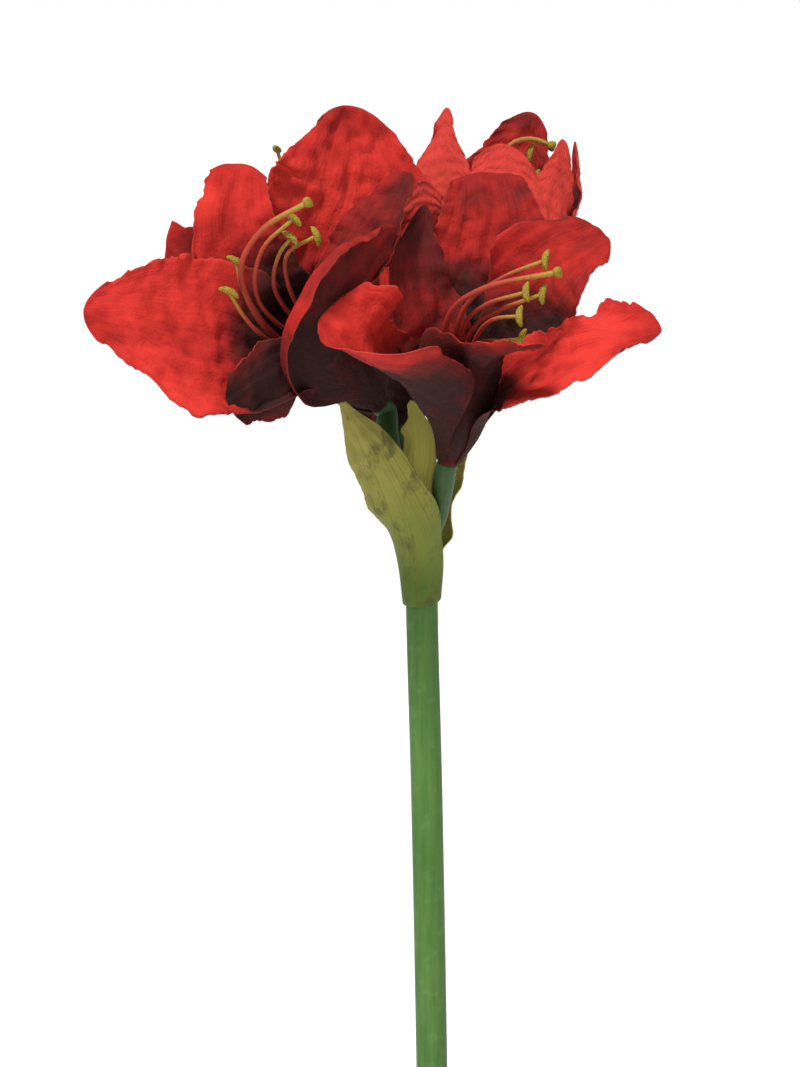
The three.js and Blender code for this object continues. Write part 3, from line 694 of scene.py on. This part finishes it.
def petalBlade(name, bloom, petal, index, seed):
    petal = {**bloom.get("plain", {}), **petal}
    base, axis = seen(bloom["base"]), bloomAxis(bloom)
    first = next(iter(bloom["petals"].values()))
    out = flat(seen(first["shoulder"]) - base, axis).normalized()
    out = Quaternion(axis, math.radians(bloom["ring"] + 60 * index)) @ out
    shift = -tubeSizes["stagger"] if index % 2 else tubeSizes["stagger"]
    root = base + axis + out * (tubeSizes["root"] + shift)
    neck = base + axis * tubeSizes["neckHeight"] + out * (tubeSizes["neck"] + shift)
    spine = [root, neck, seen(petal["shoulder"]), seen(petal["middle"]), seen(petal["tip"])]
    wrap = tubeSizes["wrap"]
    rootHalf = tubeSizes["root"] * math.radians(wrap)
    surface = leafSurface(spine, axis.cross(out), rootHalf, {"wrap": wrap, **petal}, seed)
    reach, outerReach = petal["dark"]
    plainShade = petals["ribbedShade" if "ribs" in petal else "shade"]
    shade, innerDyeAndShade = petal.get("shade", plainShade), petal.get("innerDyeAndShade", 0)
    spread, lean = petal.get("spread", petals["darkSpread"]), petal.get("lean", 0)

    # How dark a point is painted: partly the dyed dark throat and back, partly painted shade for the
    # shadow inside the bloom
    def gloom(t, s, inner):
        limit = (reach + lean * s if inner else outerReach) + 0.05 * (1 - s * s)
        dark = 1 - smooth(t, limit - spread, limit + spread * 0.5)
        if inner:
            return max(dark, innerDyeAndShade)
        paleRim = 0.3 * s**4 * smooth(t, 0.3, 0.6)
        return max(dark * (1 - paleRim), shade * (1.15 - 0.4 * s * s))

    tags = {
        "gloom": gloom, "inner": lambda t, s, inner: float(inner),
        "side": lambda t, s, inner: abs(s), "ribs": lambda t, s, inner: petal.get("ribs", 0),
    }
    return blade(name, surface, petals["along"], petals["across"], petals["thick"], tags)


def makeBloom(key, bloom, finish, seed):
    parts = [petalBlade(name, bloom, petal, index, seed + index)
             for index, (name, petal) in enumerate(bloom["petals"].items())]
    base, axis = seen(bloom["base"]), bloomAxis(bloom)
    radii = [tubeSizes["plug"] * 0.86, tubeSizes["plug"], tubeSizes["plug"] * 0.9]
    foot = tube("foot", [base, base + axis * tubeSizes["plugHeight"]], radii, 24, 6)
    tag(foot, "gloom", lambda index: 0.9)
    finished(joined(key + "Bloom", [*parts, foot]), finish, "petal", "bloom_" + key)


stamens = {
    "base": 1.3, "tip": 0.85, "fromAxis": 1.2, "reach": 22, "spread": 2.5, "fit": 0.3,
    "knob": 3, "crown": 2.4, "knobHeight": 3, "antherLength": 9.5, "antherRadius": 1.65,
    "styleBase": 1.6, "styleTip": 1.15, "stigma": 2.5, "wobble": 0.2,
    "stalkColours": [(0.0, (0.12, 0.01, 0.01, 1)), (0.5, (0.33, 0.032, 0.024, 1)),
                     (0.84, (0.36, 0.05, 0.026, 1)), (1.0, (0.33, 0.25, 0.035, 1))],
    "powderColours": [(0.35, (0.13, 0.08, 0.01, 1)), (0.62, (0.4, 0.29, 0.035, 1))],
}


def stamenFinish():
    paint = Finish("filaments")
    along, powder = paint.attribute("along"), paint.attribute("powder")
    spot = paint.place()
    speckle, grain = paint.cloud(spot, 900, 3), paint.cloud(spot, 2400, 2)
    stalk = paint.colours((along + (speckle - 0.5) * 0.2).bounded(), stamens["stalkColours"])
    dust = paint.colours(grain, stamens["powderColours"])
    height = grain * powder + speckle * 0.3
    paint.surface({
        "Base Color": paint.blend(powder, stalk, dust), "Roughness": 0.6 + powder * 0.3,
        "Specular IOR Level": 0.18,
        "Normal": paint.bump(height, 0.7, 0.0006),
    })
    return paint


def filamentPath(bloom, places):
    base, axis = seen(bloom["base"]), bloomAxis(bloom)
    towards = flat(seen(places[0]) - base, axis).normalized()
    lift = tubeSizes["plugHeight"] + stamens["fit"] + 1
    start = base + axis * lift + towards * stamens["fromAxis"]
    inside = base + axis * stamens["reach"] + towards * stamens["spread"]
    return [start, inside, *[seen(place) for place in places]]


def anther(name, place, line, seed):  # a grooved pod, a little bent, that lies across its stalk
    bpy.ops.mesh.primitive_uv_sphere_add(segments=16, ring_count=14, radius=1)
    pod = newest(name)
    turn = upright.rotation_difference(line)
    for vertex in pod.data.vertices:
        x, y, z = vertex.co
        groove = 1 - 0.3 * math.exp(-((math.atan2(y, x) / 0.5) ** 2)) * (1 - z * z)
        rough = 1 + 0.4 * noise.noise(Vector((x * 2, y * 2, z * 5)) + Vector((seed, seed, 0)))
        radius = stamens["antherRadius"] * groove * rough
        bent = x * radius + 0.9 * (z * z - 0.4)
        local = Vector((bent, y * radius, z * stamens["antherLength"] / 2))
        vertex.co = (place + turn @ local) * metre
    tag(pod, "powder", lambda index: 1.0)
    tag(pod, "along", lambda index: 1.0)
    return pod


def stigma(name, place, ahead):  # three blunt lobes at the end of the style
    turn = upright.rotation_difference(ahead)
    bpy.ops.mesh.primitive_uv_sphere_add(segments=18, ring_count=12, radius=1)
    knob = newest(name)
    for vertex in knob.data.vertices:
        x, y, z = vertex.co
        lobes = 1 + 0.22 * math.cos(3 * math.atan2(y, x)) * smooth(z, -0.4, 0.8)
        dip = 0.25 * smooth(z, 0.4, 1)
        local = Vector((x * lobes, y * lobes, z * 0.95 - dip)) * stamens["stigma"]
        vertex.co = (place + turn @ local) * metre
    tag(knob, "powder", lambda index: 0.85)
    tag(knob, "along", lambda index: 1.0)
    return knob


def makeStamens(name, bloom, finish, node, seed):
    base, axis = seen(bloom["base"]), bloomAxis(bloom)
    foot = base + axis * (tubeSizes["plugHeight"] + stamens["fit"])
    crown = foot + axis * stamens["knobHeight"]
    parts = [tube("knob", [foot, crown], [stamens["knob"], stamens["crown"]], 16, 4)]
    draw = random.Random(seed)
    lines = bloom.get("antherLines") or [bloom["antherLine"]] * len(bloom["stamens"])
    for index, (places, line) in enumerate(zip(bloom["stamens"], lines)):
        path = filamentPath(bloom, places)
        parts.append(tube("stalk", path, [stamens["base"], stamens["tip"]], 10, 40))
        wobble = Vector([draw.uniform(-1, 1) for number in range(3)]) * stamens["wobble"]
        across = (Vector(line).normalized() + wobble).normalized()
        parts.append(anther("pod", path[-1], across, seed + index))
    path = filamentPath(bloom, bloom["style"])
    parts.append(tube("style", path, [stamens["styleBase"], stamens["styleTip"]], 12, 48))
    parts.append(stigma("stigma", path[-1], (path[-1] - path[-2]).normalized()))
    finished(joined(name, parts), finish, "stamen", node)


# pale is how much painted light a bract gets, a brighter yellow between its veins as if light shone
# through it, and hem how far the middle of its foot reaches down
bracts = {
    "front": {
        "height": 431, "out": (-0.35, -1, 0), "radius": 8.5, "wrap": 112, "rise": 15,
        "flare": 1.6, "unfurl": 0.5,
        "hem": 4,
        "shoulder": (406, 527, -20), "middle": (378, 462, -33), "tip": (338, 396, -36),
        "face": (0.3, 1, -0.1), "left": (20, 14.5, 10, 1.2), "right": (24, 16, 12.5, 1.2),
        "cup": (42, 24), "ruffle": 0.6, "round": 2, "crumple": 1.1, "ragged": 0.5,
        "crease": 0.5, "flutter": 0.7,
        "pale": 0,
    },
    "back": {
        "height": 431, "out": (0.35, 1, 0), "radius": 8.1, "wrap": 58, "rise": 22, "flare": 2.5,
        "unfurl": 0.45,
        "shoulder": (438, 525, 13), "middle": (443, 488, 18), "tip": (466, 440, 22),
        "face": (-0.5, -1, 0), "left": (9, 6, 6, 2), "right": (9, 8, 9.5, 3),
        "lobes": ((0.38, -1, 3, 0.06),),
        "cup": (36, 20), "ruffle": 0.6, "round": 2, "crumple": 0.7, "ragged": 0.5,
        "crease": 0.4, "flutter": 0.5,
        "pale": 0.6,
    },
    "inner": {
        "height": 450, "out": (0, -1, 0), "radius": 8.05, "wrap": 32, "rise": 8, "flare": 3,
        "unfurl": 0.4,
        "shoulder": (416, 485, -16), "middle": (419, 440, -17), "tip": (411, 400, -16),
        "face": (0.1, 1, 0), "left": (4.5, 8.4, 8, 2.5), "right": (6, 7.5, 6.5, 2),
        "lobes": ((0.84, -1, 3, 0.04),),
        "cup": (20, 10), "ruffle": 0.4, "round": 2, "crumple": 0.5, "ragged": 0.5,
        "crease": 0.3, "flutter": 0.4,
        "pale": 0.7,
    },
}
bractSheet = {
    "along": 72, "across": 36, "thick": 0.5, "lean": -5,
    "colours": [(0.0, (0.08, 0.14, 0.02, 1)), (0.3, (0.16, 0.18, 0.028, 1)),
                (0.55, (0.26, 0.24, 0.045, 1)), (1.0, (0.33, 0.28, 0.07, 1))],
    "vein": (0.13, 0.13, 0.025, 1), "blotch": (0.06, 0.065, 0.014, 1),
    # the last colour is the painted light that brightens a bract between its veins
    "pale": (0.62, 0.56, 0.11, 1),
}


def bractFinish():
    paint = Finish("paperyBract")
    along = paint.attribute("rising")
    spot = paint.place()
    veins = paint.cloud(paint.sheet((34, 1.2, 1)), 1, 3, 0.6)
    blotches = paint.cloud(paint.place((1, 1, 0.6)), 95, 4, 0.62)
    ground = paint.colours((along + (blotches - 0.5) * 0.5).bounded(), bractSheet["colours"])
    veined = paint.blend(paint.spread(veins, 0.48, 0.66) * 0.6, ground, bractSheet["vein"])
    marked = paint.blend(paint.spread(blotches, 0.5, 0.66) * 0.7, veined, bractSheet["blotch"])
    # Painted light: bracts marked pale are brightened towards a light yellow between their veins,
    # standing in for light shining through them
    paintedGlow = paint.attribute("pale") * (1.4 - veins * 1.3).bounded()
    lit = paint.blend(paintedGlow, marked, bractSheet["pale"])
    height = veins * 0.8 + paint.cloud(spot, 420, 3) * 0.4
    paint.surface({
        "Base Color": lit, "Roughness": 0.66, "Specular IOR Level": 0.2,
        "Normal": paint.bump(height, 0.6, 0.0009),
    })
    return paint


def makeBract(name, bract, finish, node, seed):
    out = Vector(bract["out"]).normalized()
    start = Vector((bractSheet["lean"], 0, bract["height"])) + out * bract["radius"]
    second = start + upright * bract["rise"] + out * bract["flare"]
    spine = [start, second, seen(bract["shoulder"]), seen(bract["middle"]), seen(bract["tip"])]
    rootHalf = bract["radius"] * math.radians(bract["wrap"])
    surface = leafSurface(spine, upright.cross(out), rootHalf, bract, seed)
    tags = {"rising": lambda t, s, inner: t, "pale": lambda t, s, inner: bract["pale"]}
    sizes = bractSheet["along"], bractSheet["across"], bractSheet["thick"]
    sheet = blade(name, surface, *sizes, tags)
    finished(joined(name, [sheet]), finish, "bract", node)


# turns are places of the stem, as a share of its lean and a height
stem = {
    "radius": 6.9, "topRadius": 7.2, "foot": 141.3, "turns": ((0, 181), (0.55, 340), (1, 428)),
    "tip": 459, "lean": -5, "fit": 0.3,
    "pedicel": 4.2, "sunk": 6, "spread": 1.6, "ovary": 4.6, "ovaryLength": 6,
    "colours": [(0.3, (0.03, 0.085, 0.014, 1)), (0.5, (0.055, 0.135, 0.024, 1)),
                (0.75, (0.1, 0.19, 0.04, 1))],
    # dark is a painted shade that darkens the stem's top and the flower stalks under the blooms,
    # setting in between the two heights that follow it
    "frost": (0.2, 0.3, 0.15, 1), "dark": (0.012, 0.035, 0.012, 1), "paintedShadeFrom": 0.43,
    "paintedShadeTo": 0.48,
}


def stemFinish():
    paint = Finish("greenStem")
    spot = paint.place()
    streaks = paint.cloud(paint.place((1, 1, 0.05)), 420, 3, 0.6)
    patches = paint.cloud(paint.place((1, 1, 0.3)), 45, 3)
    ground = paint.colours(patches * 0.6 + streaks * 0.4, stem["colours"])
    frost = paint.spread(paint.cloud(spot, 160, 3), 0.5, 0.8)
    frosted = paint.blend(frost * 0.18, ground, stem["frost"])
    # Painted shade: the stem and stalks are darkened with height, standing in for the shadow of the
    # blooms above them
    height = paint.node("ShaderNodeSeparateXYZ", {}, {0: spot}, 2)
    high = paint.spread(height, stem["paintedShadeFrom"], stem["paintedShadeTo"])
    withPaintedShade = paint.blend(high * 0.7, frosted, stem["dark"])
    paint.surface({
        "Base Color": withPaintedShade, "Roughness": 0.5, "Specular IOR Level": 0.25,
        "Normal": paint.bump(streaks * 0.7 + patches * 0.3, 0.35, 0.0008),
    })
    return paint


def makeStem(finish):
    top = Vector((stem["lean"], 0, stem["tip"]))
    places = [Vector((stem["lean"] * share, 0, height)) for share, height in stem["turns"]]
    places = [Vector((0, 0, stem["foot"])), *places, top]
    piece = tube("stem", places, [stem["radius"], stem["topRadius"]], 40, 120)
    for bloom in blooms.values():
        base, axis = seen(bloom["base"]), bloomAxis(bloom)
        end, swelling = base - axis * stem["fit"], base - axis * stem["ovaryLength"]
        aside = end - top
        aside.z = 0
        start = top + aside.normalized() * stem["spread"]
        start.z = stem["tip"] - stem["sunk"]
        thin, thick = stem["pedicel"], stem["ovary"]
        route = [start, seen(bloom["stalk"]), swelling, end]
        pedicel = tube("pedicel", route, [thin, thin, thin, thick * 1.06, thick], 28, 48)
        applied(piece, "BOOLEAN", operation="UNION", object=pedicel, solver="EXACT")
        bpy.data.objects.remove(pedicel)
    finished(joined("stem", [piece]), finish, "stem", "scape")


# A piece turned round the upright line from (radius, height) pairs
def turnedPiece(name, outline, sides, wobble=None):
    last = len(outline) - 1

    def ringAt(share, turn):
        radius, height = outline[round(share * last)]
        if wobble:
            radius, height = wobble(radius, height, turn)
        return Vector((radius * math.cos(turn), radius * math.sin(turn), height))

    return ringed(name, sides, last, ringAt)


def softened(outline, perSpan=6):
    spine = Spine([Vector((radius, 0, height)) for radius, height in outline], perSpan)
    return [(max(point.x, 0.4), point.z) for point in spine.points]


bulb = {
    "outline": ((13, 56), (25, 63), (33, 74), (36.5, 91), (35, 106), (28.5, 122), (20, 134),
                (14.5, 146), (12.3, 155), (11.5, 161)),
    "hole": 7.2, "brim": 161.2, "holeHeights": (159.5, 150, 141), "ribs": 0.018, "waves": 0.01,
    "sides": 120,
    "colours": [(0.25, (0.09, 0.035, 0.014, 1)), (0.5, (0.26, 0.12, 0.05, 1)),
                (0.75, (0.42, 0.24, 0.11, 1))],
    "green": (0.2, 0.24, 0.07, 1),
}


def bulbFinish():
    paint = Finish("bulbTunic")
    turn, spot = paint.attribute("turning"), paint.place()
    along = paint.attribute("along")
    strandSpot = paint.node("ShaderNodeCombineXYZ", {}, {0: turn * 30, 1: along * 2, 2: 0})
    strands = paint.cloud(strandSpot, 1.6, 4, 0.65)
    patches = paint.cloud(spot, 60, 4, 0.6, 0.8)
    skin = paint.colours(strands * 0.55 + patches * 0.45, bulb["colours"])
    greenish = paint.blend(paint.spread(along, 0.62, 0.8) * 0.75, skin, bulb["green"])
    height = strands * 0.8 + patches * 0.5
    paint.surface({
        "Base Color": greenish, "Roughness": 0.6, "Specular IOR Level": 0.35,
        "Normal": paint.bump(height, 0.8, 0.0014),
    })
    return paint


def makeBulb(finish):
    hole = bulb["hole"]
    inside = [(hole + 1.2, bulb["brim"]), *[(hole, height) for height in bulb["holeHeights"]]]

    def wobble(radius, height, turn):
        if radius <= hole + 1.3:
            return radius, height
        strands = noise.noise(Vector((math.cos(turn) * 9, math.sin(turn) * 9, height * 0.02)))
        waves = noise.noise(Vector((math.cos(turn) * 2, math.sin(turn) * 2, height * 0.05)))
        return radius * (1 + bulb["ribs"] * (strands - 0.6) + bulb["waves"] * (waves - 0.6)), height

    piece = turnedPiece("bulb", [*softened(bulb["outline"]), *inside], bulb["sides"], wobble)
    turns = [math.atan2(vertex.co.y, vertex.co.x) for vertex in piece.data.vertices]
    tag(piece, "turning", lambda index: turns[index])
    finished(joined("bulbSkin", [piece]), finish, "tunic", "bulb")


soil = {
    "top": 106, "grain": 1.6, "floor": 6.3, "floorRadius": 41.4, "shoulder": 59.9, "ledge": 94,
    "rings": (61.5, *range(60, 36, -2), 37, 36), "sides": 140,
    "hollow": ((35.9, 100), (37, 91), (33.6, 73.7), (25.6, 62.7), (13.6, 55.7)),
    "crumbs": 420, "draw": 11, "perlite": 0.1,
    "colours": [(0.3, (0.012, 0.008, 0.006, 1)), (0.55, (0.04, 0.025, 0.017, 1)),
                (0.8, (0.1, 0.065, 0.045, 1))],
    "perliteColour": (0.55, 0.52, 0.47, 1),
}


def soilFinish():
    paint = Finish("darkSoil")
    spot = paint.place()
    clods, grains = paint.cloud(spot, 120, 5, 0.7), paint.cloud(spot, 900, 4, 0.7)
    tone = paint.attribute("tone")
    ground = paint.colours((clods * 0.5 + grains * 0.5 + tone).bounded(), soil["colours"])
    pale = paint.blend(paint.spread(tone, 0.3, 0.5), ground, soil["perliteColour"])
    paint.surface({
        "Base Color": pale, "Roughness": 0.95, "Specular IOR Level": 0.2,
        "Normal": paint.bump(clods * 0.6 + grains * 0.4, 1.0, 0.002),
    })
    return paint


def lumpAt(x, y):  # how far the soil lies above or below its own level
    lump = math.sin(0.31 * x + 1) * math.cos(0.27 * y) + 0.6 * math.sin(0.55 * y + 0.4 * x)
    return soil["grain"] * lump * 0.8


def makeSoil(finish):
    body = [(soil["floorRadius"], soil["floor"]), (soil["shoulder"], soil["ledge"]), (61.4, 105)]
    outline = [*body, *[(radius, soil["top"]) for radius in soil["rings"]], *soil["hollow"]]

    def wobble(radius, height, turn):
        if height != soil["top"]:
            return radius, height
        x, y = radius * math.cos(turn), radius * math.sin(turn)
        rough = noise.fractal(Vector((x, y, 0)) * 0.25, 0.6, 2, 4) * 1.1
        return radius, height + lumpAt(x, y) + rough

    bed = turnedPiece("soilBed", outline, soil["sides"], wobble)
    tag(bed, "tone", lambda index: 0.0)
    parts = [bed]
    draw = random.Random(soil["draw"])
    for number in range(soil["crumbs"]):
        bpy.ops.mesh.primitive_ico_sphere_add(subdivisions=1, radius=1)
        crumb = newest("crumb")
        turn, far = draw.uniform(0, 2 * math.pi), draw.uniform(38.5, 59)
        x, y = far * math.cos(turn), far * math.sin(turn)
        perlite = draw.random() < soil["perlite"]
        size = draw.uniform(0.6, 1.5) * (0.8 if perlite else 1)
        place = Vector((x, y, soil["top"] + lumpAt(x, y) + size * 0.25))
        angle, line = draw.uniform(0, 6), Vector((draw.random(), draw.random(), 1)).normalized()
        shape = Matrix.Rotation(angle, 3, line)
        spans = (0.7, 1.4), (0.7, 1.2), (0.5, 0.9)
        stretch = Vector([draw.uniform(*span) for span in spans]) * size
        for vertex in crumb.data.vertices:
            vertex.co = (place + shape @ (vertex.co * stretch)) * metre
        shade = 0.6 if perlite else draw.uniform(-0.15, 0.15)
        tag(crumb, "tone", lambda index: shade)
        parts.append(crumb)
    finished(joined("soilFill", parts), finish, "soil", "soil")


pot = {
    "outline": ((44, 0), (45.3, 0.5), (46, 2), (50.5, 25), (55.2, 48), (59.9, 71), (64.3, 93),
                (64.8, 93.8), (66.6, 94), (67.2, 95), (68.1, 102), (69.5, 114), (69.9, 118),
                (69.3, 119.6), (68, 120), (65.8, 120), (64.9, 119), (64.3, 115), (61.5, 100),
                (60.5, 94), (52, 55), (44, 14), (42, 7), (40.5, 6)),
    "sides": 128, "crispAngle": 38,
    "colours": [(0.3, (0.3, 0.105, 0.05, 1)), (0.55, (0.42, 0.165, 0.085, 1)),
                (0.8, (0.52, 0.24, 0.14, 1))],
    "chalk": (0.68, 0.56, 0.47, 1),
}


def potFinish():
    paint = Finish("firedClay")
    spot = paint.place()
    bands = paint.cloud(paint.place((0.05, 0.05, 1)), 260, 3)
    patches, grains = paint.cloud(spot, 28, 4, 0.6), paint.cloud(spot, 900, 3)
    ground = paint.colours(patches * 0.55 + bands * 0.25 + grains * 0.2, pot["colours"])
    chalk = paint.spread(paint.cloud(paint.place((1, 1, 0.6)), 16, 5, 0.65), 0.55, 0.75)
    chalky = paint.blend(chalk * 0.35, ground, pot["chalk"])
    paint.surface({
        "Base Color": chalky, "Roughness": 0.85, "Specular IOR Level": 0.25,
        "Normal": paint.bump(bands * 0.5 + grains * 0.35, 0.5, 0.0008),
    })
    return paint


def makePot(finish):
    piece = joined("clayPot", [turnedPiece("pot", pot["outline"], pot["sides"])])
    bpy.context.view_layer.objects.active = piece
    piece.select_set(True)
    bpy.ops.object.shade_smooth_by_angle(angle=math.radians(pot["crispAngle"]))
    piece.select_set(False)
    finished(piece, finish, "clay", "pot")


setStudio()
print("studio set")
petalPaint, stamenPaint, bractPaint = petalFinish(), stamenFinish(), bractFinish()
for seed, (key, bloom) in enumerate(blooms.items()):
    makeBloom(key, bloom, petalPaint, seed * 10)
    makeStamens(key + "Stamens", bloom, stamenPaint, "stamens_" + key, seed * 10)
for seed, (key, bract) in enumerate(bracts.items()):
    makeBract(key + "Bract", bract, bractPaint, "bract_" + key, 70 + seed)
makeStem(stemFinish())
makeBulb(bulbFinish())
makeSoil(soilFinish())
makePot(potFinish())
